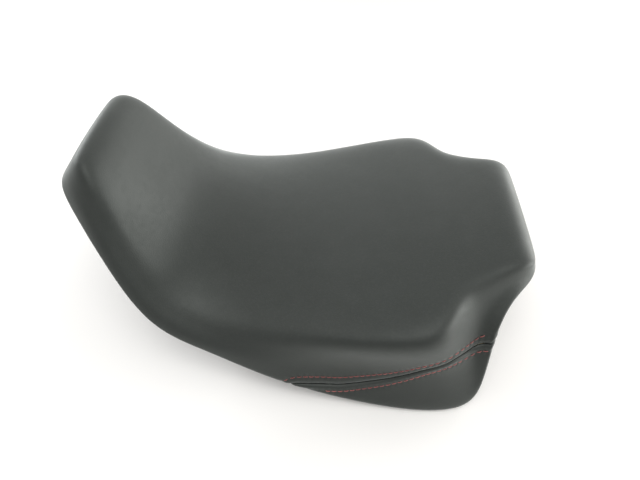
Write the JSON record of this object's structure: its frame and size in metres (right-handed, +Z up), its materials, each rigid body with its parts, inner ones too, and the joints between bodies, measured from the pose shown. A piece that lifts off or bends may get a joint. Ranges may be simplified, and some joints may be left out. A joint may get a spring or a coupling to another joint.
{
  "type": "motorcycle rider seat",
  "caption": "Stepped motorcycle rider's seat: vinyl cover with stitched side panels over foam, on a ribbed plastic pan with a front tongue and a rear bracket.",
  "frame": {"origin": "on the table, in the middle of the seat's outline, seat standing on its side skirts and front feet", "axes": "+X to the nose, which is the front of the bike; +Y to the rider's left; +Z up"},
  "size_m": [0.473, 0.374, 0.2134],
  "materials": {
    "vinyl": "fine-grained black vinyl, satin",
    "thread": "dull red twisted polyester thread",
    "webbing": "woven black tape",
    "foam": "open-cell moulded polyurethane foam",
    "plastic": "moulded black polypropylene, lightly textured",
    "rubber": "matt black rubber",
    "steel": "plain steel",
    "zinc": "zinc-plated pressed steel"
  },
  "bodies": {
    "root": {"cover_main_panel": "vinyl", "cover_side_panel_left": "vinyl", "cover_side_panel_right": "vinyl", "stitch_thread_upper_left": "thread", "stitch_thread_upper_right": "thread", "stitch_thread_lower_left": "thread", "stitch_thread_lower_right": "thread", "seam_tape_left": "webbing", "seam_tape_right": "webbing", "foam_cushion": "foam", "seat_pan": "plastic", "tank_edge_pad": "rubber", "front_tongue": "zinc", "rear_bracket": "zinc", "tongue_screw_1": "steel", "tongue_screw_2": "steel", "bracket_screw_1": "steel", "bracket_screw_2": "steel", "bracket_screw_3": "steel", "lug_grommet_1": "rubber", "lug_collar_1": "zinc", "lug_grommet_2": "rubber", "lug_collar_2": "zinc", "foot_buffer_1": "rubber", "foot_buffer_2": "rubber", "frame_buffer_1": "rubber", "frame_buffer_2": "rubber", "frame_buffer_3": "rubber", "frame_buffer_4": "rubber", "hem_staple_01": "steel", "hem_staple_02": "steel", "hem_staple_03": "steel", "hem_staple_04": "steel", "hem_staple_05": "steel", "hem_staple_06": "steel", "hem_staple_07": "steel", "hem_staple_08": "steel", "hem_staple_09": "steel", "hem_staple_10": "steel", "hem_staple_11": "steel", "hem_staple_12": "steel", "hem_staple_13": "steel", "hem_staple_14": "steel", "hem_staple_15": "steel", "hem_staple_16": "steel", "hem_staple_17": "steel", "hem_staple_18": "steel", "hem_staple_19": "steel", "hem_staple_20": "steel", "hem_staple_21": "steel", "hem_staple_22": "steel", "hem_staple_23": "steel", "hem_staple_24": "steel", "hem_staple_25": "steel", "hem_staple_26": "steel", "hem_staple_27": "steel", "hem_staple_28": "steel"}
  },
  "joints": []
}
